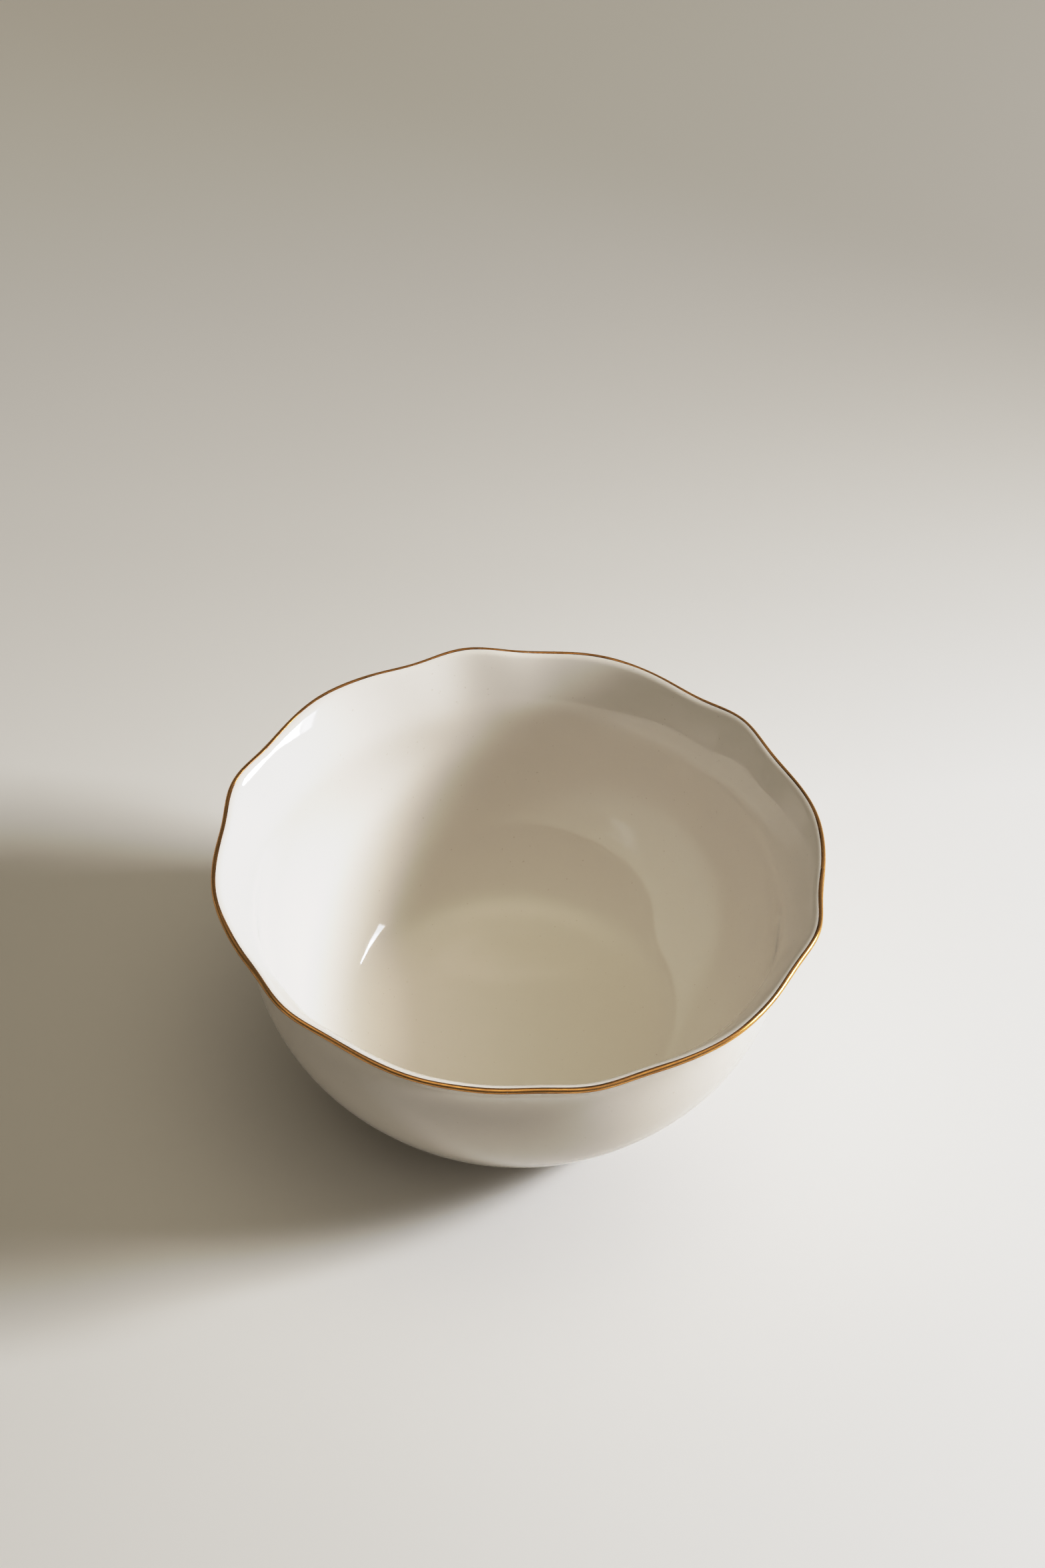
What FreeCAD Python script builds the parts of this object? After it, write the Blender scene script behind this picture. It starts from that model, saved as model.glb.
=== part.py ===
import FreeCAD, Part
import math
import os

# Porcelain serving bowl: a deep bell-shaped bowl with a waved lip that turns outwards.
# The porcelain body stands on a foot ring. A coat of glaze covers it inside, outside and under the base, and a
# gold line is painted over the lip. The origin is at the centre of the standing edge, with +Z up. All sizes are
# in millimetres.

# Lip: a rounded edge at the end of a wall that turns outwards.
LIP_CROWN_HEIGHT = 105.5  # crown of the lip above the table, halfway up its waves
LIP_CENTRE_RADIUS = 112.7  # from the bowl's axis to the centre of the rounded edge
LIP_EDGE_RADIUS = 1.15  # of the rounded edge itself
LIP_SHOULDER_RADIUS = 5.0  # of the roll from the rounded edge into the inner wall
LIP_UNDERSIDE_RADIUS = 3.0  # of the roll from the rounded edge into the outer wall
INNER_END_ANGLE = 45.0  # slopes of the section's normal above the horizontal, in degrees:
SHOULDER_END_ANGLE = 80.0  # 90 is straight up, and more than 180 faces away from the bowl and down
EDGE_END_ANGLE = 240.0
OUTER_END_ANGLE = 222.0

# Waves of the lip: (how many round the bowl, height of the wave, angle of its first crest in degrees).
RADIAL_WAVES = ((6, 0.36, 16.0), (12, 0.96, 13.33), (18, 0.33, 3.67), (24, 0.11, -1.375))
HEIGHT_WAVES = ((6, 0.10, -26.83), (12, 0.52, 11.25), (18, 0.20, 0.11))
WAVE_DEPTH = 38.0  # how far below the crown the waves fade away

# Foot ring.
FOOT_OUTER_RADIUS = 61.4
FOOT_INNER_RADIUS = 56.2
FOOT_EDGE_ROUND = 1.2  # rounding on both sides of the standing edge, which bears no glaze
BASE_HEIGHT = 4.7  # underside of the porcelain base above the table, where the foot ring joins it

# Well: the flat middle of the bowl's inside.
WELL_RADIUS = 20.0
WELL_HEIGHT = 7.7

# Control points (radius, height) of the glazed wall, from the foot up to the lip's underside.
OUTER_WALL = (
    (FOOT_OUTER_RADIUS, FOOT_EDGE_ROUND),
    (FOOT_OUTER_RADIUS, 3.2),
    (62.6, 5.4),
    (71.3, 11.6),
    (83.9, 25.7),
    (96.3, 44.3),
    (101.7, 63.7),
    (102.5, 75.6),
    (102.7, 82.8),
    (104.8, 92.0),
    (109.7, 99.6),
)
# Control points of the inner wall, from the edge of the well up to the lip's shoulder.
INNER_WALL = (
    (WELL_RADIUS, WELL_HEIGHT),
    (46.6, WELL_HEIGHT),
    (62.6, 9.3),
    (71.1, 16.7),
    (85.8, 32.8),
    (96.3, 54.5),
    (98.1, 72.4),
    (98.2, 81.5),
    (100.3, 90.8),
    (106.8, 101.0),
)

GLAZE = 0.30  # thickness of the coat of glaze
GOLD = 0.10  # thickness of the gold line as modelled; the real film is far thinner
GOLD_INNER_ANGLE = 80.0  # where the gold line starts on the lip, as a slope of the normal
GOLD_OUTER_ANGLE = 195.0  # where it ends, on the outside

RING_POINTS = 96  # points round each ring of a lofted surface
WALL_STATIONS = 34  # rings up each wall


class Station:
    """One ring of a surface: a point of the section with the direction that its surface faces."""

    def __init__(self, radius, height, facing_in, facing_up):
        length = math.hypot(facing_in, facing_up)
        self.radius = radius
        self.height = height
        self.facing_in = facing_in / length
        self.facing_up = facing_up / length

    def offset(self, distance):
        """The same station moved along the way it faces."""
        return Station(
            self.radius - distance * self.facing_in,
            self.height + distance * self.facing_up,
            self.facing_in,
            self.facing_up,
        )

    def swell(self):
        """How much of the lip's waves reaches this height: all at the crown, none WAVE_DEPTH below it."""
        depth = max(LIP_CROWN_HEIGHT - self.height, 0.0)
        return max(1.0 - depth / WAVE_DEPTH, 0.0) ** 2

    def point(self, angle):
        radius = self.radius + self.swell() * wave(RADIAL_WAVES, angle)
        height = self.height + self.swell() * wave(HEIGHT_WAVES, angle)
        return FreeCAD.Vector(radius * math.cos(angle), radius * math.sin(angle), height)


def wave(waves, angle):
    return sum(size * math.cos(count * (angle - math.radians(crest))) for count, size, crest in waves)


def spline(points):
    """Clamped cubic spline with these control points, in the plane of the section."""
    curve = Part.BSplineCurve()
    spans = len(points) - 3
    knots = [i / spans for i in range(spans + 1)]
    mults = [4] + [1] * (spans - 1) + [4]
    poles = [FreeCAD.Vector(radius, 0, height) for radius, height in points]
    curve.buildFromPolesMultsKnots(poles, mults, knots, False, 3)
    return curve


def spline_station(curve, parameter, side):
    """Station on a wall's spline. side is 1 for the inner wall and -1 for the outer wall."""
    point = curve.value(parameter)
    along = curve.tangent(parameter)[0]
    return Station(point.x, point.z, side * along.z, side * along.x)


def wall_stations(points, side, parameters):
    curve = spline(points)
    return [spline_station(curve, parameter, side) for parameter in parameters]


def arc_stations(centre, radius, first_angle, last_angle, count):
    """Stations on an arc of the lip, at even steps from one slope of the normal to the other."""
    stations = []
    for i in range(count + 1):
        angle = math.radians(first_angle + (last_angle - first_angle) * i / count)
        facing_in, facing_up = math.cos(angle), math.sin(angle)
        stations.append(
            Station(centre[0] - radius * facing_in, centre[1] + radius * facing_up, facing_in, facing_up)
        )
    return stations


def arc_centre(near_centre, near_radius, far_radius, angle):
    """Centre of the arc that runs on from another one at this slope of the normal."""
    growth = near_radius - far_radius
    angle = math.radians(angle)
    return near_centre[0] - growth * math.cos(angle), near_centre[1] + growth * math.sin(angle)


def parameter_at_height(points, height, offset):
    """Where the outer wall's spline, moved by offset along its normal, reaches this height."""
    curve = spline(points)
    low, high = 0.0, 0.5
    for _ in range(60):
        middle = (low + high) / 2
        if spline_station(curve, middle, -1).offset(offset).height < height:
            low = middle
        else:
            high = middle
    return low


def section():
    """The glazed surface's section as runs of stations, from the foot's side over the lip to the well."""
    edge_centre = (LIP_CENTRE_RADIUS, LIP_CROWN_HEIGHT - LIP_EDGE_RADIUS)
    shoulder_centre = arc_centre(edge_centre, LIP_EDGE_RADIUS, LIP_SHOULDER_RADIUS, SHOULDER_END_ANGLE)
    underside_turn = math.radians(EDGE_END_ANGLE)
    reach = LIP_EDGE_RADIUS + LIP_UNDERSIDE_RADIUS
    underside_centre = (
        edge_centre[0] - reach * math.cos(underside_turn),
        edge_centre[1] + reach * math.sin(underside_turn),
    )
    # The underside is hollow, so its normals point at its own centre.
    underside = [
        Station(2 * underside_centre[0] - s.radius, 2 * underside_centre[1] - s.height, s.facing_in, s.facing_up)
        for s in arc_stations(underside_centre, LIP_UNDERSIDE_RADIUS, OUTER_END_ANGLE, EDGE_END_ANGLE, 4)
    ]
    edge_outside = arc_stations(edge_centre, LIP_EDGE_RADIUS, EDGE_END_ANGLE, GOLD_OUTER_ANGLE, 3)
    edge_gilded = arc_stations(edge_centre, LIP_EDGE_RADIUS, GOLD_OUTER_ANGLE, GOLD_INNER_ANGLE, 8)
    shoulder = arc_stations(shoulder_centre, LIP_SHOULDER_RADIUS, SHOULDER_END_ANGLE, INNER_END_ANGLE, 5)

    outer_end = (underside[0].radius, underside[0].height)
    inner_end = (shoulder[-1].radius, shoulder[-1].height)
    outer_points = OUTER_WALL + (outer_end,)
    inner_points = INNER_WALL + (inner_end,)
    joint = parameter_at_height(outer_points, BASE_HEIGHT, -GLAZE)
    foot_steps = [joint * i / 6 for i in range(7)]
    wall_steps = [joint + (1 - joint) * i / WALL_STATIONS for i in range(WALL_STATIONS + 1)]
    inner_steps = [1 - i / WALL_STATIONS for i in range(WALL_STATIONS + 1)]
    return (
        ("foot", wall_stations(outer_points, -1, foot_steps)),
        ("outer", wall_stations(outer_points, -1, wall_steps)),
        ("underside", underside),
        ("edge_outside", edge_outside),
        ("edge_gilded", edge_gilded),
        ("shoulder", shoulder),
        ("inner", wall_stations(inner_points, 1, inner_steps)),
    )


def ring(station):
    """Closed smooth curve through the points of one station."""
    step = 2 * math.pi / RING_POINTS
    points = [station.point(i * step) for i in range(RING_POINTS)]
    curve = Part.BSplineCurve()
    curve.interpolate(Points=points, PeriodicFlag=True, Parameters=[i * step for i in range(RING_POINTS + 1)])
    return curve


class Skin:
    """Smooth surface through a row of stations, which can be cut at any of them."""

    def __init__(self, stations):
        self.stations = stations
        rings = [ring(station) for station in stations]
        self.places = [0.0]
        for a, b in zip(stations, stations[1:]):
            self.places.append(self.places[-1] + math.hypot(b.radius - a.radius, b.height - a.height))
        columns = []
        for j in range(1, rings[0].NbPoles + 1):
            column = Part.BSplineCurve()
            column.interpolate(Points=[r.getPole(j) for r in rings], Parameters=self.places)
            columns.append(column)
        first_ring, first_column = rings[0], columns[0]
        self.surface = Part.BSplineSurface()
        self.surface.buildFromPolesMultsKnots(
            [column.getPoles() for column in columns],
            first_ring.getMultiplicities(),
            first_column.getMultiplicities(),
            first_ring.getKnots(),
            first_column.getKnots(),
            True,
            False,
            3,
            first_column.Degree,
        )

    def band(self, first, last):
        """The face between two stations, given by their numbers."""
        return self.surface.toShape(0.0, 2 * math.pi, self.places[first], self.places[last])

    def edge(self, index):
        return self.surface.vIso(self.places[index]).toShape()


def disc(edge):
    """Flat face inside a ring."""
    return Part.Face(Part.Wire([edge]))


def annulus(outer_edge, inner_edge):
    """Flat face between two rings."""
    return disc(outer_edge).cut(disc(inner_edge)).Faces[0]


def strip(edge, other_edge):
    """Narrow face that joins two rings, such as the end of a coat of glaze."""
    return Part.makeRuledSurface(edge, other_edge)


def closed_solid(faces):
    shell = Part.Compound(faces)
    shell.sewShape(1e-5)
    solid = Part.Solid(shell.Shells[0])
    if solid.Volume < 0:
        solid.reverse()
    return solid


def joined(runs):
    """All runs in one row of stations, and the number of each run's first and last station."""
    row, spans = [], {}
    for name, stations in runs:
        if row:
            stations = stations[1:]
        first = max(len(row) - 1, 0)
        row.extend(stations)
        spans[name] = (first, len(row) - 1)
    return row, spans


def foot_edge(side):
    """Stations round one side of the standing edge. side is -1 outside and 1 inside."""
    wall = FOOT_OUTER_RADIUS - GLAZE if side < 0 else FOOT_INNER_RADIUS
    centre = (wall + side * FOOT_EDGE_ROUND, FOOT_EDGE_ROUND)
    stations = []
    for i in range(7):
        angle = math.radians(15.0 * i)
        facing_in, facing_up = side * math.cos(angle), -math.sin(angle)
        stations.append(
            Station(
                centre[0] - FOOT_EDGE_ROUND * facing_in,
                centre[1] + FOOT_EDGE_ROUND * facing_up,
                facing_in,
                facing_up,
            )
        )
    return stations


def bowl_body(body, spans):
    """Porcelain wall, lip and base in one piece."""
    first, last = spans["outer"][0], spans["inner"][1]
    return closed_solid([body.band(first, last), disc(body.edge(first)), disc(body.edge(last))])


def foot_ring(body, spans):
    """Porcelain ring under the base, with the unglazed edge that the bowl stands on."""
    bottom, top = spans["foot"]
    outside = Skin(foot_edge(-1))
    inside_stations = foot_edge(1)[::-1]
    inside_top = Station(FOOT_INNER_RADIUS, BASE_HEIGHT, 1, 0)
    middle = Station(FOOT_INNER_RADIUS, (BASE_HEIGHT + FOOT_EDGE_ROUND) / 2, 1, 0)
    inside = Skin(inside_stations + [middle, inside_top])
    return closed_solid(
        [
            body.band(bottom, top),
            outside.band(0, 6),
            annulus(outside.edge(6), inside.edge(0)),
            inside.band(0, 8),
            annulus(body.edge(top), inside.edge(8)),
        ]
    )


def outside_glaze(glaze, body, spans):
    """Coat from just above the standing edge, up the outside to the crown of the lip."""
    first, last = spans["foot"][0], spans["edge_gilded"][0]
    return glaze_coat(glaze, body, first, last, [])


def inside_glaze(glaze, body, spans):
    """Coat from under the gold line down the inner wall and over the well."""
    first, last = spans["edge_gilded"][0], spans["inner"][1]
    return glaze_coat(glaze, body, first, last, [disc(glaze.edge(last)), disc(body.edge(last))])


def glaze_coat(glaze, body, first, last, closing):
    faces = [glaze.band(first, last), body.band(first, last), strip(glaze.edge(first), body.edge(first))]
    if not closing:
        closing = [strip(glaze.edge(last), body.edge(last))]
    return closed_solid(faces + closing)


def base_glaze():
    """Coat under the base, inside the foot ring, thicker where it pooled in the corner."""
    wall = FOOT_INNER_RADIUS
    pool = 1.0
    corners = (
        (0, BASE_HEIGHT),
        (wall, BASE_HEIGHT),
        (wall, FOOT_EDGE_ROUND),
        (wall - GLAZE, FOOT_EDGE_ROUND),
        (wall - GLAZE, BASE_HEIGHT - GLAZE - pool),
    )
    last = (0, BASE_HEIGHT - GLAZE)
    pool_end = (wall - GLAZE - pool, BASE_HEIGHT - GLAZE)
    middle = pool * (1 - math.sqrt(0.5))
    pool_middle = (wall - GLAZE - middle, BASE_HEIGHT - GLAZE - middle)
    points = [FreeCAD.Vector(radius, 0, height) for radius, height in corners]
    edges = [Part.LineSegment(a, b).toShape() for a, b in zip(points, points[1:])]
    bend = [FreeCAD.Vector(radius, 0, height) for radius, height in (pool_middle, pool_end, last)]
    edges.append(Part.Arc(points[-1], bend[0], bend[1]).toShape())
    edges.append(Part.LineSegment(bend[1], bend[2]).toShape())
    edges.append(Part.LineSegment(bend[2], points[0]).toShape())
    outline = Part.Face(Part.Wire(edges))
    return outline.revolve(FreeCAD.Vector(0, 0, 0), FreeCAD.Vector(0, 0, 1), 360)


def gold_line(glaze, row, spans):
    """Gold painted round the rounded edge of the lip, on top of the glaze."""
    first, last = spans["edge_gilded"]
    film = Skin([station.offset(GOLD) for station in row[first : last + 1]])
    count = last - first
    return closed_solid(
        [
            film.band(0, count),
            glaze.band(first, last),
            strip(film.edge(0), glaze.edge(first)),
            strip(film.edge(count), glaze.edge(last)),
        ]
    )


def main():
    os.makedirs("parts", exist_ok=True)
    row, spans = joined(section())
    glaze = Skin(row)
    body = Skin([station.offset(-GLAZE) for station in row])
    nodes = {
        "bowl_body": bowl_body(body, spans),
        "foot_ring": foot_ring(body, spans),
        "inside_glaze": inside_glaze(glaze, body, spans),
        "outside_glaze": outside_glaze(glaze, body, spans),
        "base_glaze": base_glaze(),
        "gold_rim_line": gold_line(glaze, row, spans),
    }
    for name, shape in nodes.items():
        shape.exportStep(os.path.join("parts", name + ".step"))
        print(name, "valid", shape.isValid(), "volume", round(shape.Volume, 1))


main()
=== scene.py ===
import math
import bpy
import numpy as np
from mathutils import Matrix, Vector, noise


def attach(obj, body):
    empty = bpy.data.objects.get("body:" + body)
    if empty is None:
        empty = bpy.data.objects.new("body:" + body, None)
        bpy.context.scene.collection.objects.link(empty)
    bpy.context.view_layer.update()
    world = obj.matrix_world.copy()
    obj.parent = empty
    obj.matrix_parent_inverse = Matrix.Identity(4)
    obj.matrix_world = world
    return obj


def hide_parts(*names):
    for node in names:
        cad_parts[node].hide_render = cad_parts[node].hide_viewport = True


# Porcelain serving bowl with a waved lip and a gold line, on a pale table in soft light from the right.

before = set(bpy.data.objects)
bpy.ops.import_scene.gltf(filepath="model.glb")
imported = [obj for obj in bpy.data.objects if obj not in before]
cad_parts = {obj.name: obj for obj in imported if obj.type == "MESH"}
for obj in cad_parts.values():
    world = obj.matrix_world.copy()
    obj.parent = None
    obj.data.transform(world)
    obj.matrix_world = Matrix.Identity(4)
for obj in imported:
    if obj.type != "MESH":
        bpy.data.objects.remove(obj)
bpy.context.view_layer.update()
MM = 0.001

# ---------------------------------------------------------------- the bowl's section, in millimetres
# The same section as the CAD model's, with the same dimensions. Lip angles are in degrees round the lip, from
# 0 on the bowl's inner side over 90 at the crown to 180 on the outer side.
LIP_CROWN_HEIGHT = 105.5
LIP_CENTRE_RADIUS = 112.7
LIP_EDGE_RADIUS = 1.15
LIP_SHOULDER_RADIUS = 5.0
LIP_UNDERSIDE_RADIUS = 3.0
INNER_END_ANGLE, SHOULDER_END_ANGLE, EDGE_END_ANGLE, OUTER_END_ANGLE = 45.0, 80.0, 240.0, 222.0
# Waves of the lip: how many go round the bowl, their size, and the direction of the first crest in degrees.
RADIAL_WAVES = ((6, 0.36, 16.0), (12, 0.96, 13.33), (18, 0.33, 3.67), (24, 0.11, -1.375))
HEIGHT_WAVES = ((6, 0.10, -26.83), (12, 0.52, 11.25), (18, 0.20, 0.11))
WAVE_DEPTH = 38.0  # below the crown, where the waves have died away
FOOT_OUTER_RADIUS, FOOT_INNER_RADIUS, FOOT_EDGE_ROUND = 61.4, 56.2, 1.2
BASE_HEIGHT = 4.7
WELL_RADIUS, WELL_HEIGHT = 20.0, 7.7
# Control points of the two walls, as radius and height, upwards.
OUTER_WALL = (
    (FOOT_OUTER_RADIUS, FOOT_EDGE_ROUND), (FOOT_OUTER_RADIUS, 3.2), (62.6, 5.4), (71.3, 11.6), (83.9, 25.7),
    (96.3, 44.3), (101.7, 63.7), (102.5, 75.6), (102.7, 82.8), (104.8, 92.0), (109.7, 99.6),
)
INNER_WALL = (
    (WELL_RADIUS, WELL_HEIGHT), (46.6, WELL_HEIGHT), (62.6, 9.3), (71.1, 16.7), (85.8, 32.8),
    (96.3, 54.5), (98.1, 72.4), (98.2, 81.5), (100.3, 90.8), (106.8, 101.0),
)
GLAZE = 0.30
GOLD = 0.09
GOLD_INNER_ANGLE, GOLD_OUTER_ANGLE = 80.0, 195.0
COATS_MEET_ANGLE = GOLD_OUTER_ANGLE - 40
TURNS = 360  # points round the bowl
BACK_STEP = 6  # the hidden backs of the coats keep one section point in this many


def wave(waves, angle):
    """Sum of the waves, in millimetres, in a direction from the axis."""
    return sum(size * np.cos(count * (angle - math.radians(crest))) for count, size, crest in waves)


def spline(points, parameters):
    """Points and tangents of the clamped cubic B-spline with these control points."""
    points = np.array(points, float)
    spans = len(points) - 3
    knots = np.concatenate([[0] * 3, np.arange(spans + 1) / spans, [1] * 3])
    t = np.clip(np.asarray(parameters, float), 0, 1 - 1e-12)

    def basis(degree):
        rows = [((knots[i] <= t) & (t < knots[i + 1])).astype(float) for i in range(len(knots) - 1)]
        for d in range(1, degree + 1):
            step = []
            for i in range(len(rows) - 1):
                left = knots[i + d] - knots[i]
                right = knots[i + d + 1] - knots[i + 1]
                value = np.zeros_like(t)
                if left > 0:
                    value = value + (t - knots[i]) / left * rows[i]
                if right > 0:
                    value = value + (knots[i + d + 1] - t) / right * rows[i + 1]
                step.append(value)
            rows = step
        return np.array(rows).T

    place = basis(3) @ points
    gaps = (knots[4:4 + len(points) - 1] - knots[1:len(points)])[:, None]
    slope = basis(2)[:, 1:-1] @ (3 * (points[1:] - points[:-1]) / gaps)
    return place, slope / np.linalg.norm(slope, axis=1)[:, None]


def arc(centre, radius, first, last, count):
    """Section points (radius, height, way in, way up) on an arc of the lip."""
    angle = np.radians(np.linspace(first, last, count))
    way = np.stack([np.cos(angle), np.sin(angle)], 1)
    return np.column_stack([centre[0] - radius * way[:, 0], centre[1] + radius * way[:, 1], way])


def wall(points, side, parameters):
    """Section points on a wall. side is 1 for the inner wall and -1 for the outer."""
    place, along = spline(points, parameters)
    return np.column_stack([place, side * along[:, 1], side * along[:, 0]])


EDGE_CENTRE = (LIP_CENTRE_RADIUS, LIP_CROWN_HEIGHT - LIP_EDGE_RADIUS)


def beside_edge(distance, degrees):
    """Point at a distance from the edge's centre, in the direction of an angle of the lip."""
    turn = math.radians(degrees)
    return EDGE_CENTRE[0] - distance * math.cos(turn), EDGE_CENTRE[1] + distance * math.sin(turn)


SHOULDER_CENTRE = beside_edge(LIP_EDGE_RADIUS - LIP_SHOULDER_RADIUS, SHOULDER_END_ANGLE)
UNDERSIDE_CENTRE = beside_edge(LIP_EDGE_RADIUS + LIP_UNDERSIDE_RADIUS, EDGE_END_ANGLE)


def edge_arc(first, last, count):
    return arc(EDGE_CENTRE, LIP_EDGE_RADIUS, first, last, count)


def shoulder_arc(count):
    return arc(SHOULDER_CENTRE, LIP_SHOULDER_RADIUS, SHOULDER_END_ANGLE, INNER_END_ANGLE, count)


def underside_arc(count):
    return arc(UNDERSIDE_CENTRE, -LIP_UNDERSIDE_RADIUS, OUTER_END_ANGLE, EDGE_END_ANGLE, count)


def outer_wall(parameters):
    """Section points on the outer wall, which ends where the lip's underside begins."""
    end = tuple(underside_arc(2)[0, :2])
    return wall(OUTER_WALL + (end,), -1, parameters)


def inner_wall(parameters):
    """Section points on the inner wall, which ends where the lip's shoulder begins."""
    end = tuple(shoulder_arc(2)[-1, :2])
    return wall(INNER_WALL + (end,), 1, parameters)


def outer_section(lip_end, count):
    """Section of the outside, from the foot's edge up to lip_end on the rounded edge."""
    rows = outer_wall(np.linspace(0, 1, count))
    return np.vstack([rows, underside_arc(10)[1:], edge_arc(EDGE_END_ANGLE, lip_end, 14)[1:]])


def inner_section(lip_start, count):
    """Section of the inside, from lip_start on the rounded edge down to the edge of the well."""
    rows = inner_wall(np.linspace(1, 0, count))
    return np.vstack([edge_arc(lip_start, SHOULDER_END_ANGLE, 12), shoulder_arc(12)[1:], rows[1:]])


def offset(rows, distance):
    """The section moved by a distance out of the porcelain, or into it where the distance is negative."""
    moved = rows.copy()
    moved[:, 0] -= distance * rows[:, 2]
    moved[:, 1] += distance * rows[:, 3]
    return moved


def swell(height):
    """Share of the lip's waves that is left at a height."""
    depth = np.maximum(LIP_CROWN_HEIGHT - height, 0)
    return np.maximum(1 - depth / WAVE_DEPTH, 0) ** 2


def waved_points(radius, height, angle):
    """Points in metres, with the lip's waves, from plain radii and heights in directions from the axis."""
    fade = swell(height)
    radius = radius + fade * wave(RADIAL_WAVES, angle)
    height = height + fade * wave(HEIGHT_WAVES, angle)
    return np.stack([radius * np.cos(angle), radius * np.sin(angle), height], -1) * MM


def directions(turns):
    return np.arange(turns) * 2 * math.pi / turns


def rings(rows):
    """Grid of points in metres: one ring for each row of the section."""
    return waved_points(rows[:, 0][:, None], rows[:, 1][:, None], directions(TURNS)[None, :])


def add_object(name, data):
    thing = bpy.data.objects.new(name, data)
    bpy.context.collection.objects.link(thing)
    return thing


def cap(verts, faces, first, turns, upside):
    """Close one ring of a mesh with triangles to a point in its middle."""
    centre = len(verts)
    verts.append(np.mean(verts[first:first + turns], axis=0).tolist())
    for i in range(turns):
        here, ahead = first + i, first + (i + 1) % turns
        faces.append([here, ahead, centre] if upside else [ahead, here, centre])


def skin_piece(name, grid, capped, node, material):
    """Closed mesh through rings of points. capped closes the first and last ring; otherwise those two join."""
    count, turns = grid.shape[:2]
    here = np.arange(turns)
    ahead = (here + 1) % turns
    bands = []
    for k in range(count - 1 if capped else count):
        a, b = k * turns, ((k + 1) % count) * turns
        bands.append(np.stack([a + here, a + ahead, b + ahead, b + here], 1))
    faces = np.concatenate(bands).tolist()
    verts = grid.reshape(-1, 3).tolist()
    if capped:
        cap(verts, faces, 0, turns, False)
        cap(verts, faces, (count - 1) * turns, turns, True)
    mesh = bpy.data.meshes.new(name)
    mesh.from_pydata(verts, [], faces)
    mesh.validate()
    mesh.polygons.foreach_set("use_smooth", [True] * len(mesh.polygons))
    mesh.materials.append(material)
    piece = add_object(name, mesh)
    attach(piece, "root")
    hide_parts(node)
    return piece


# ---------------------------------------------------------------- materials
class Nodes:
    """Short way to add and join a material's nodes."""

    def __init__(self, name):
        self.material = bpy.data.materials.new(name)
        self.material.use_nodes = True
        self.tree = self.material.node_tree
        self.shader = self.tree.nodes["Principled BSDF"]
        self.coordinates = self.add("ShaderNodeTexCoord").outputs["Object"]

    def add(self, kind, **settings):
        node = self.tree.nodes.new(kind)
        for key, value in settings.items():
            setattr(node, key, value)
        return node

    def link(self, output, target):
        self.tree.links.new(output, target)

    def noise(self, scale, detail=2.0, roughness=0.5, stretch=(1, 1, 1), seed=0.0, place=None):
        """Noise from 0 to 1, in the piece's own coordinates or those given. seed moves the pattern."""
        mapping = self.add("ShaderNodeMapping")
        mapping.inputs["Scale"].default_value = stretch
        mapping.inputs["Location"].default_value = (seed, seed * 0.7, seed * 1.3)
        self.link(place or self.coordinates, mapping.inputs["Vector"])
        texture = self.add("ShaderNodeTexNoise")
        texture.inputs["Scale"].default_value = scale
        texture.inputs["Detail"].default_value = detail
        texture.inputs["Roughness"].default_value = roughness
        self.link(mapping.outputs["Vector"], texture.inputs["Vector"])
        return texture.outputs["Fac"]

    def ramp(self, value, stops):
        """Colour that runs through the stops as the value goes from 0 to 1."""
        ramp = self.add("ShaderNodeValToRGB")
        self.link(value, ramp.inputs["Fac"])
        elements = ramp.color_ramp.elements
        while len(elements) < len(stops):
            elements.new(0.5)
        for element, (place, colour) in zip(elements, stops):
            element.position = place
            element.color = (*colour, 1.0)
        return ramp.outputs["Color"]

    def span(self, value, low, high, to_low, to_high):
        """The value with its range from low to high stretched to a new one."""
        node = self.add("ShaderNodeMapRange")
        for key, number in zip(("From Min", "From Max", "To Min", "To Max"), (low, high, to_low, to_high)):
            node.inputs[key].default_value = number
        self.link(value, node.inputs["Value"])
        return node.outputs["Result"]

    def mix(self, factor, under, over):
        """Plain colour laid over a colour of the tree, as strongly as the factor."""
        node = self.add("ShaderNodeMix", data_type="RGBA")
        self.link(factor, node.inputs[0])
        self.link(under, node.inputs[6])
        node.inputs[7].default_value = (*over, 1.0)
        return node.outputs[2]

    def bump(self, height, distance, previous=None):
        """Normal for a relief of this depth in metres, on top of an earlier one if there is one."""
        node = self.add("ShaderNodeBump")
        node.inputs["Strength"].default_value = 1.0
        node.inputs["Distance"].default_value = distance
        self.link(height, node.inputs["Height"])
        if previous is not None:
            self.link(previous, node.inputs["Normal"])
        return node.outputs["Normal"]


# One glaze in two copies: the lighter inside tint is painted light in the bowl, and the darker outside tint is
# painted shade on the outer wall and under the base.
INSIDE_TINT_PAINTED_LIGHT = (0.87, 0.820, 0.735)
OUTSIDE_TINT_PAINTED_SHADE = (0.735, 0.678, 0.590)
CLOUD_SHADE = 0.985
SPECK_TINT, SPECK_STRENGTH = (0.55, 0.47, 0.36), 0.35
GLAZE_ROUGHNESS = (0.05, 0.09)
GLAZE_IOR = 1.52
RIPPLE_DEPTH, PEEL_DEPTH = 0.00006, 0.000004  # metres
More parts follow.
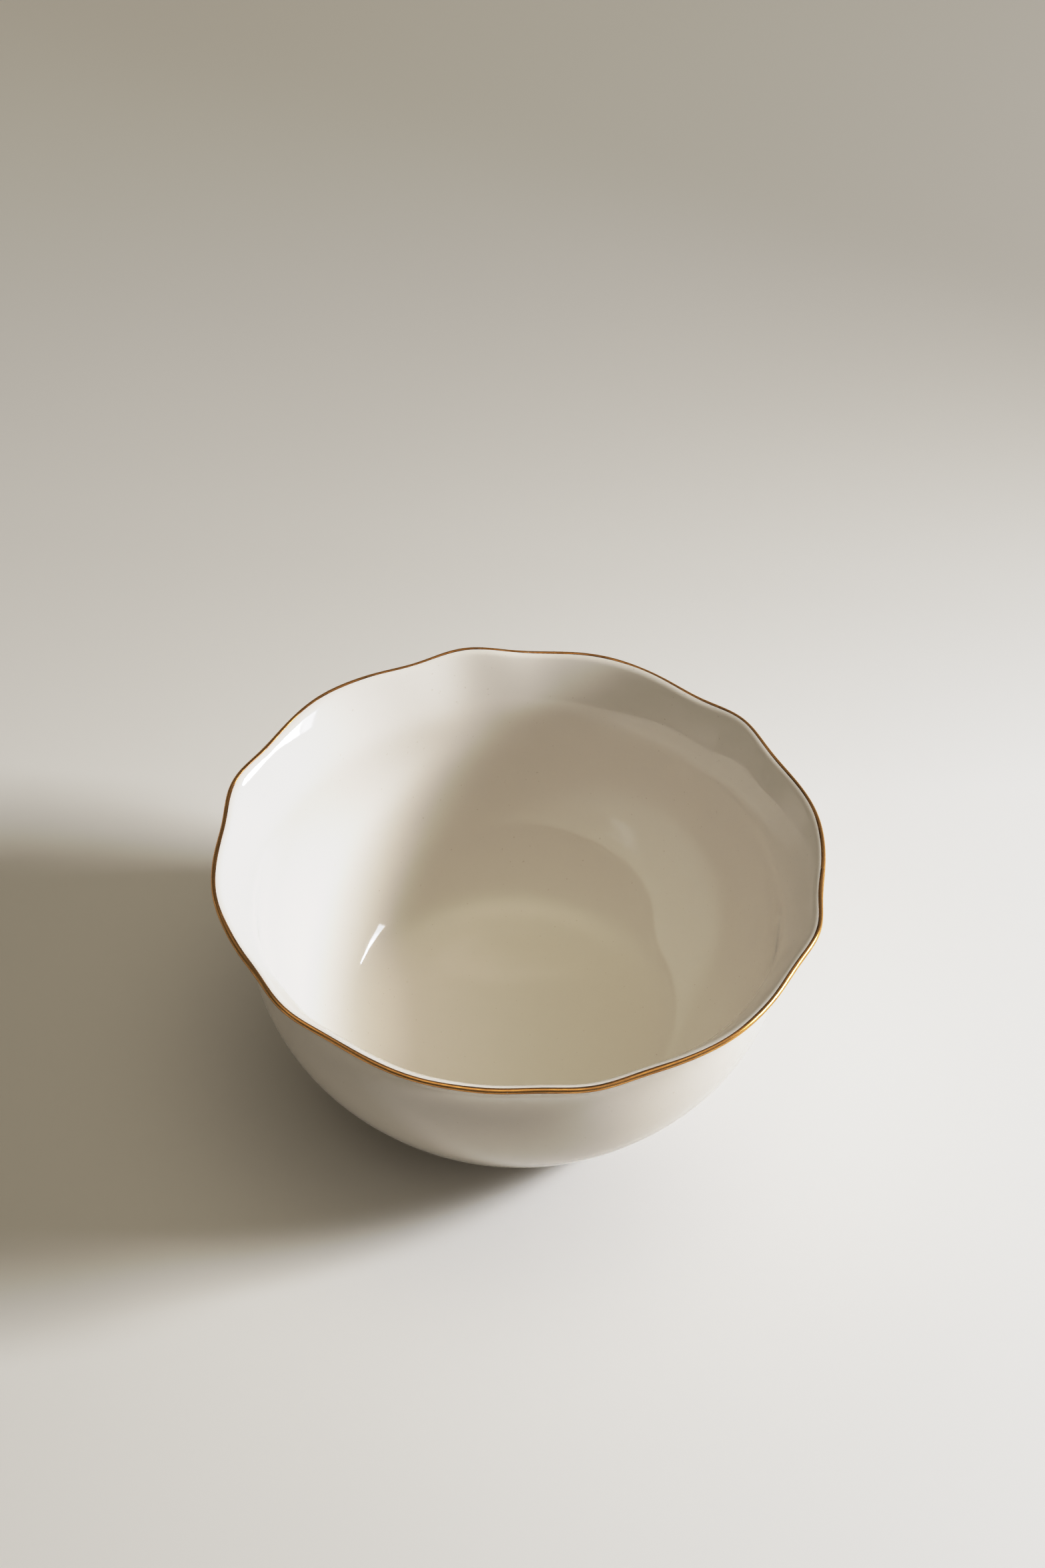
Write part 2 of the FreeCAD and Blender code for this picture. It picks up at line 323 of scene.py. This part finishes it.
# Colour across the gold line, from its inner border to its outer one: the dark borders and the bright middle are
# painted reflection, of the dark room and of the light.
GOLD_ACROSS_PAINTED_REFLECTION = (
    (0.00, (0.14, 0.065, 0.025)),
    (0.06, (0.62, 0.33, 0.11)),
    (0.30, (0.86, 0.49, 0.17)),
    (0.52, (0.92, 0.54, 0.19)),
    (0.82, (0.84, 0.48, 0.17)),
    (0.89, (0.40, 0.19, 0.06)),
    (0.95, (0.08, 0.032, 0.012)),
    (1.00, (0.05, 0.02, 0.01)),
)
GOLD_STREAK, GOLD_PINHOLE = (0.36, 0.17, 0.055), (0.85, 0.82, 0.76)
GOLD_METALLIC = 0.85
GOLD_ROUGHNESS = (0.20, 0.34)
GOLD_RELIEF = 0.00002  # metres
BISQUE_DARK, BISQUE_LIGHT = (0.66, 0.61, 0.52), (0.80, 0.76, 0.68)
BISQUE_ROUGHNESS = (0.55, 0.75)
BISQUE_RELIEF = 0.00008  # metres
TABLE_DARK, TABLE_LIGHT = (0.835, 0.812, 0.760), (0.85, 0.827, 0.775)
TABLE_ROUGHNESS = 0.85


def glaze_material(name, tint):
    """Glossy warm white glaze over porcelain, with faint clouding, pinholes and the slow ripple of a dipped coat."""
    n = Nodes(name)
    cloud = n.noise(9.0, 3.0, 0.55, seed=2.0)
    base = n.ramp(cloud, ((0.30, tuple(c * CLOUD_SHADE for c in tint)), (0.70, tint)))
    specks = n.noise(900.0, 1.0, 0.4, seed=7.0)
    mask = n.span(specks, 0.76, 0.80, 0.0, SPECK_STRENGTH)
    n.link(n.mix(mask, base, SPECK_TINT), n.shader.inputs["Base Color"])
    rough = n.noise(30.0, 3.0, 0.6, seed=4.0)
    n.link(n.span(rough, 0.3, 0.7, *GLAZE_ROUGHNESS), n.shader.inputs["Roughness"])
    n.shader.inputs["IOR"].default_value = GLAZE_IOR
    ripple = n.bump(n.noise(55.0, 2.0, 0.5, seed=9.0), RIPPLE_DEPTH)
    peel = n.bump(n.noise(420.0, 2.0, 0.5, seed=5.0), PEEL_DEPTH, ripple)
    n.link(peel, n.shader.inputs["Normal"])
    return n.material


def gold_material():
    """Burnished gold with a painted reflection across the line, dark brown at both borders and bright in the middle,
    and with streaks along the stroke and pinholes.
    """
    n = Nodes("gold_line")
    line = n.add("ShaderNodeUVMap", uv_map="line").outputs["UV"]
    parts = n.add("ShaderNodeSeparateXYZ")
    n.link(line, parts.inputs[0])
    stroke = n.noise(1.0, 3.0, 0.6, stretch=(60.0, 5.0, 1.0), seed=3.0, place=line)
    wobble = n.span(stroke, 0.25, 0.75, -0.10, 0.10)
    across = n.add("ShaderNodeMath", operation="ADD")
    n.link(parts.outputs["Y"], across.inputs[0])
    n.link(wobble, across.inputs[1])
    # Painted reflection across the line: dark brown borders and a bright middle.
    body = n.ramp(across.outputs[0], GOLD_ACROSS_PAINTED_REFLECTION)
    fine = n.noise(1.0, 2.0, 0.5, stretch=(260.0, 14.0, 1.0), seed=5.0, place=line)
    streaked = n.mix(n.span(fine, 0.35, 0.65, 0.0, 0.55), body, GOLD_STREAK)
    pin = n.noise(1500.0, 1.0, 0.3, seed=12.0)
    colour = n.mix(n.span(pin, 0.79, 0.81, 0.0, 1.0), streaked, GOLD_PINHOLE)
    n.link(colour, n.shader.inputs["Base Color"])
    n.shader.inputs["Metallic"].default_value = GOLD_METALLIC
    n.link(n.span(fine, 0.3, 0.7, *GOLD_ROUGHNESS), n.shader.inputs["Roughness"])
    n.link(n.bump(fine, GOLD_RELIEF), n.shader.inputs["Normal"])
    return n.material


def bisque_material():
    """Bare fired porcelain: matt and slightly creamy, with fine grain."""
    n = Nodes("bisque")
    grain = n.noise(600.0, 4.0, 0.65, seed=1.0)
    colour = n.ramp(grain, ((0.3, BISQUE_DARK), (0.7, BISQUE_LIGHT)))
    n.link(colour, n.shader.inputs["Base Color"])
    n.link(n.span(grain, 0.3, 0.7, *BISQUE_ROUGHNESS), n.shader.inputs["Roughness"])
    n.link(n.bump(grain, BISQUE_RELIEF), n.shader.inputs["Normal"])
    return n.material


def table_material():
    """Smooth matt paint with faint broad clouding."""
    n = Nodes("table")
    colour = n.ramp(n.noise(3.0, 2.0, 0.5), ((0.3, TABLE_DARK), (0.7, TABLE_LIGHT)))
    n.link(colour, n.shader.inputs["Base Color"])
    n.shader.inputs["Roughness"].default_value = TABLE_ROUGHNESS
    return n.material


# Lit and shaded copies of one glaze: painted light inside the bowl, painted shade on the outside and under the base.
glaze_inside_painted_light = glaze_material("glaze_inside_painted_light", INSIDE_TINT_PAINTED_LIGHT)
glaze_outside_painted_shade = glaze_material("glaze_outside_painted_shade", OUTSIDE_TINT_PAINTED_SHADE)
glaze_base_painted_shade = glaze_material("glaze_base_painted_shade", OUTSIDE_TINT_PAINTED_SHADE)
gold = gold_material()
bisque = bisque_material()

# ---------------------------------------------------------------- the pieces
def outside_coat():
    """Outer wall's coat, from the foot's edge to the lip."""
    face = outer_section(COATS_MEET_ANGLE, 110)
    back = offset(face[::BACK_STEP][::-1], -GLAZE)
    grid = np.concatenate([rings(face), rings(back)])
    skin_piece("outside_coat", grid, False, "outside_glaze", glaze_outside_painted_shade)


def inside_coat():
    """Inner wall's coat and the flat well, closed underneath."""
    well = np.array([(WELL_RADIUS * share, WELL_HEIGHT, 0, 1) for share in np.linspace(1, 0, 12)[1:-1]])
    face = np.vstack([inner_section(COATS_MEET_ANGLE, 120), well])
    back = offset(face[::BACK_STEP], -GLAZE)[::-1]
    grid = np.concatenate([rings(back), rings(face)])
    skin_piece("inside_coat", grid, True, "inside_glaze", glaze_inside_painted_light)


def wander(angle, seed, size, reach):
    """Smooth uneven run round the bowl, in degrees of the lip. reach says how often it turns."""
    around = [Vector((math.cos(a) * reach, math.sin(a) * reach, seed)) for a in angle]
    return size * np.array([noise.fractal(place, 1.0, 2.0, 2) for place in around])


def gold_ring(lip_angle, lift, angle):
    """One ring of the gold line: lip_angle says where on the lip it lies, and lift how far above the surface."""
    on_shoulder = lip_angle < math.radians(SHOULDER_END_ANGLE)
    centre_radius = np.where(on_shoulder, SHOULDER_CENTRE[0], EDGE_CENTRE[0])
    centre_height = np.where(on_shoulder, SHOULDER_CENTRE[1], EDGE_CENTRE[1])
    size = np.where(on_shoulder, LIP_SHOULDER_RADIUS, LIP_EDGE_RADIUS) + lift
    return waved_points(centre_radius - size * np.cos(lip_angle), centre_height + size * np.sin(lip_angle), angle)


def gold_line():
    """The painted line: a thin film on the lip whose two borders wander a little, as a brush leaves them."""
    turns, buried = 1440, -0.03
    angle = directions(turns)
    inner = GOLD_INNER_ANGLE - 4 + wander(angle, 3.0, 5.0, 3.0)
    outer = GOLD_OUTER_ANGLE - 6 + wander(angle, 11.0, 6.0, 4.0)
    across = np.linspace(0, 1, 22)
    film = np.sin(np.pi * across) ** 0.35 * GOLD
    places = np.concatenate([across, across[::-1]])
    lifts = np.concatenate([film, np.full_like(film, buried)])
    grid = [gold_ring(np.radians(inner + (outer - inner) * place), lift, angle) for place, lift in zip(places, lifts)]
    piece = skin_piece("gold_line", np.array(grid), False, "gold_rim_line", gold)
    add_line_coordinates(piece, places, turns)


def add_line_coordinates(piece, places, turns):
    """Coordinates on the gold line: x runs along it in bowl turns and y across it from the inside to the outside."""
    layer = piece.data.uv_layers.new(name="line")
    numbers = np.zeros(len(piece.data.loops), dtype=np.int32)
    piece.data.loops.foreach_get("vertex_index", numbers)
    along = ((numbers % turns) / turns).reshape(-1, 4)
    past_start = along.max(axis=1, keepdims=True) - along > 0.5
    along = (along + past_start).reshape(-1)
    across = places[numbers // turns]
    layer.data.foreach_set("uv", np.stack([along, across], 1).astype(np.float32).reshape(-1))


def foot():
    """Foot ring with its bare standing edge, rounded on both sides."""
    round_out = FOOT_OUTER_RADIUS - GLAZE - FOOT_EDGE_ROUND
    round_in = FOOT_INNER_RADIUS + FOOT_EDGE_ROUND
    side = outer_wall(np.linspace(0, 0.12, 60))
    side = offset(side[side[:, 1] <= BASE_HEIGHT], -GLAZE)
    quarter = np.linspace(0, math.pi / 2, 9)
    rows = [(round_out + FOOT_EDGE_ROUND * math.sin(a), FOOT_EDGE_ROUND * (1 - math.cos(a)), 0, 0) for a in quarter]
    rows += [*side[1:], (side[-1, 0], BASE_HEIGHT, 0, 0), (FOOT_INNER_RADIUS, BASE_HEIGHT, 0, 0)]
    rows += [(round_in - FOOT_EDGE_ROUND * math.cos(a), FOOT_EDGE_ROUND * (1 - math.sin(a)), 0, 0) for a in quarter]
    skin_piece("foot", rings(np.array(rows)), False, "foot_ring", bisque)


def base_coat():
    """Glaze under the base, pooled in the corner with the foot ring."""
    edge, face, pool = FOOT_INNER_RADIUS, FOOT_INNER_RADIUS - GLAZE, 1.0
    level = BASE_HEIGHT - GLAZE
    rows = [(0.5, BASE_HEIGHT), (edge * 0.5, BASE_HEIGHT), (edge, BASE_HEIGHT), (edge, 3.0)]
    rows += [(edge, FOOT_EDGE_ROUND), (face, FOOT_EDGE_ROUND), (face, 2.4)]
    rows += [(face - pool * (1 - math.cos(a)), level - pool * (1 - math.sin(a)))
             for a in np.linspace(0, math.pi / 2, 9)]
    rows += [(share * (face - pool), level) for share in np.linspace(0.95, 0.02, 16)]
    section = np.array([(radius, height, 0, 0) for radius, height in rows])
    skin_piece("base_coat", rings(section)[::-1], True, "base_glaze", glaze_base_painted_shade)


outside_coat()
inside_coat()
gold_line()
foot()
base_coat()
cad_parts["bowl_body"].data.materials.clear()
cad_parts["bowl_body"].data.materials.append(bisque)

# ---------------------------------------------------------------- table, light and camera
# All in metres and degrees. Light colours are radiances.
RIM_HEIGHT = LIP_CROWN_HEIGHT * MM
RIM_RADIUS = 0.1132
TABLE_HALF = 12.0
WINDOW_COLOUR = (49.0, 51.6, 58.0)
WINDOW_DISTANCE = 2.0
# Panes light the scene but aren't reflected, and glints are only reflected: azimuth and share of the colour.
PANES = ((-1.8, 1.25), (3.2, 1.5), (8.4, 1.65))
PANE_ELEVATION, PANE_WIDTH, PANE_HEIGHT = 27, 0.154, 0.392
GLINTS = ((-1.0, 0.2), (4.4, 0.4), (9.8, 0.7), (15.2, 0.8), (20.6, 0.7))
GLINT_ELEVATION, GLINT_WIDTH, GLINT_HEIGHT = 26, 0.155, 0.50
CURTAIN_X, CURTAIN_NEAR, CURTAIN_FAR, CURTAIN_FOOT, CURTAIN_TOP = 0.9, 0.235, 4.5, -0.2, 1.6
CURTAIN_CLEAR = 0.34  # share of the light that goes straight through
CEILING, SIDES = (1.30, 1.19, 0.98, 1), (0.035, 0.030, 0.024, 1)
CEILING_TIGHTNESS = 8.0
WALL_TOP, WALL_FULL = 0.50, 0.25  # sines of the elevations where the walls begin and are fully seen
WALL_DARK, WALL_LIGHT = (0.01, 0.009, 0.008, 1), (0.50, 0.48, 0.45, 1)
WALL_DIM, WALL_PLAIN = (0.03, 0.027, 0.022, 1), (0.20, 0.185, 0.165, 1)
# Walls round the room, in turns from -X through -Y, +X and +Y.
WALLS = (
    (0.0, WALL_DARK), (0.045, WALL_DARK), (0.052, WALL_LIGHT), (0.088, WALL_LIGHT), (0.095, WALL_DARK),
    (0.190, WALL_DARK), (0.22, WALL_DIM), (0.45, WALL_PLAIN), (0.80, WALL_PLAIN), (0.915, WALL_PLAIN),
    (0.925, WALL_LIGHT), (0.955, WALL_LIGHT), (0.962, WALL_DARK), (1.0, WALL_DARK),
)
CAMERA_FALL, CAMERA_TILT = 45.07, -2.19
CAMERA_BACK, CAMERA_RISE, CAMERA_ASIDE = 7.771, 8.125, -0.0022  # from the rim's centre, in rim radii
CAMERA_LENS, CAMERA_SENSOR = 78.81, 36.0  # mm
TONES = ((0.12, 0.093), (0.25, 0.228), (0.38, 0.392), (0.80, 0.80))
TONE_AT_ONE, BRIGHTEST, TONE_AT_BRIGHTEST = 0.855, 1.6, 0.98


def stage_sheet(name, corners, material):
    """Flat four-cornered sheet that belongs to the stage."""
    mesh = bpy.data.meshes.new(name)
    mesh.from_pydata(corners, [], [(0, 1, 2, 3)])
    mesh.materials.append(material)
    sheet = add_object(name, mesh)
    return sheet


def table_top():
    half = TABLE_HALF
    corners = [(-half, -half, 0), (half, -half, 0), (half, half, 0), (-half, half, 0)]
    stage_sheet("table_top", corners, table_material())


def area_light(name, azimuth, elevation, distance, width, height, radiance):
    """Soft light that faces the bowl from an azimuth (0 is +X, 90 is +Y) and elevation, in degrees."""
    light = bpy.data.lights.new(name, "AREA")
    light.shape = "RECTANGLE"
    light.size, light.size_y = width, height
    light.energy = math.pi * width * height * max(radiance)
    light.color = [value / max(radiance) for value in radiance]
    lamp = add_object(name, light)
    az, el = math.radians(azimuth), math.radians(elevation)
    way = Vector((math.cos(el) * math.cos(az), math.cos(el) * math.sin(az), math.sin(el)))
    aim = Vector((0, 0, RIM_HEIGHT * 0.5))
    lamp.location = aim + way * distance
    lamp.rotation_euler = way.to_track_quat("Z", "Y").to_euler()
    return lamp


def window():
    """Window on the right: three panes that light the scene, and five strips that show in the glaze."""
    for number, (azimuth, share) in enumerate(PANES):
        pane = area_light(f"window_pane_{number}", azimuth, PANE_ELEVATION, WINDOW_DISTANCE, PANE_WIDTH, PANE_HEIGHT,
                          [share * c for c in WINDOW_COLOUR])
        pane.visible_glossy = False
    for number, (azimuth, share) in enumerate(GLINTS):
        glint = area_light(f"window_glint_{number}", azimuth, GLINT_ELEVATION, WINDOW_DISTANCE, GLINT_WIDTH,
                           GLINT_HEIGHT, [share * c for c in WINDOW_COLOUR])
        glint.visible_diffuse = False


def curtain_material():
    material = bpy.data.materials.new("sheer_curtain")
    material.use_nodes = True
    tree = material.node_tree
    tree.nodes.remove(tree.nodes["Principled BSDF"])
    mix = tree.nodes.new("ShaderNodeMixShader")
    mix.inputs["Fac"].default_value = CURTAIN_CLEAR
    tree.links.new(tree.nodes.new("ShaderNodeBsdfDiffuse").outputs[0], mix.inputs[1])
    tree.links.new(tree.nodes.new("ShaderNodeBsdfTransparent").outputs[0], mix.inputs[2])
    tree.links.new(mix.outputs[0], tree.nodes["Material Output"].inputs["Surface"])
    return material


def curtain():
    """Sheer curtain at the window's back edge, out of sight: it dims the light on the far part of the table."""
    places = ((CURTAIN_NEAR, CURTAIN_FOOT), (CURTAIN_FAR, CURTAIN_FOOT), (CURTAIN_FAR, CURTAIN_TOP),
              (CURTAIN_NEAR, CURTAIN_TOP))
    sheet = stage_sheet("curtain", [(CURTAIN_X, y, z) for y, z in places], curtain_material())
    sheet.visible_camera = sheet.visible_glossy = sheet.visible_diffuse = False


def room():
    """Dim warm surroundings: a lighter ceiling, and light and dark parts of the walls round the table."""
    world = bpy.data.worlds.new("room")
    bpy.context.scene.world = world
    world.use_nodes = True
    tree = world.node_tree

    def add(kind, *links, **settings):
        node = tree.nodes.new(kind)
        for key, value in settings.items():
            setattr(node, key, value)
        for output, socket in links:
            tree.links.new(output, node.inputs[socket])
        return node

    way = add("ShaderNodeTexCoord").outputs["Generated"]
    parts = add("ShaderNodeSeparateXYZ", (way, 0))
    above = add("ShaderNodeClamp", (parts.outputs["Z"], 0))
    overhead = add("ShaderNodeMath", (above.outputs[0], 0), operation="POWER")
    overhead.inputs[1].default_value = CEILING_TIGHTNESS
    ceiling = add("ShaderNodeMix", (overhead.outputs[0], 0), data_type="RGBA")
    ceiling.inputs[6].default_value = SIDES
    ceiling.inputs[7].default_value = CEILING

    azimuth = add("ShaderNodeMath", (parts.outputs["Y"], 0), (parts.outputs["X"], 1), operation="ARCTAN2")
    turn = add("ShaderNodeMapRange", (azimuth.outputs[0], "Value"))
    turn.inputs["From Min"].default_value = -math.pi
    turn.inputs["From Max"].default_value = math.pi
    walls = add("ShaderNodeValToRGB", (turn.outputs["Result"], 0))
    elements = walls.color_ramp.elements
    while len(elements) < len(WALLS):
        elements.new(0.5)
    for element, (place, colour) in zip(elements, WALLS):
        element.position, element.color = place, colour
    low = add("ShaderNodeMapRange", (parts.outputs["Z"], "Value"))
    low.inputs["From Min"].default_value = WALL_TOP
    low.inputs["From Max"].default_value = WALL_FULL
    total = add("ShaderNodeMix", (low.outputs["Result"], 0), (ceiling.outputs[2], 6), (walls.outputs[0], 7),
                data_type="RGBA", blend_type="ADD")
    tree.links.new(total.outputs[2], tree.nodes["Background"].inputs["Color"])


def camera():
    """Camera above and in front of the bowl, looking down at 45 degrees and held slightly tilted."""
    fall, tilt = math.radians(CAMERA_FALL), math.radians(CAMERA_TILT)
    back, rise, aside = (reach * RIM_RADIUS for reach in (CAMERA_BACK, CAMERA_RISE, CAMERA_ASIDE))
    right = Vector((1, 0, 0))
    up = Vector((0, math.sin(fall), math.cos(fall)))
    turned_right = right * math.cos(tilt) - up * math.sin(tilt)
    turned_up = right * math.sin(tilt) + up * math.cos(tilt)
    toward = Vector((0, -math.cos(fall), math.sin(fall)))
    data = bpy.data.cameras.new("camera")
    data.sensor_fit = "VERTICAL"
    data.sensor_height = CAMERA_SENSOR
    data.lens = CAMERA_LENS
    data.dof.use_dof = False
    eye = add_object("camera", data)
    place = Matrix((turned_right, turned_up, toward)).transposed().to_4x4()
    place.translation = Vector((aside, -back, RIM_HEIGHT + rise))
    eye.matrix_world = place
    bpy.context.scene.camera = eye


def tone_curve():
    """Camera response: middle tones a little up and a soft shoulder at the bright end."""
    settings = bpy.context.scene.view_settings
    settings.view_transform = "Standard"
    settings.use_curve_mapping = True
    curve = settings.curve_mapping.curves[3]
    for light, tone in TONES:
        curve.points.new(light, tone)
    curve.points[-1].location = (1.0, TONE_AT_ONE)
    settings.curve_mapping.clip_max_x = BRIGHTEST
    curve.points.new(BRIGHTEST, TONE_AT_BRIGHTEST)
    settings.curve_mapping.update()


table_top()
window()
curtain()
room()
camera()
tone_curve()
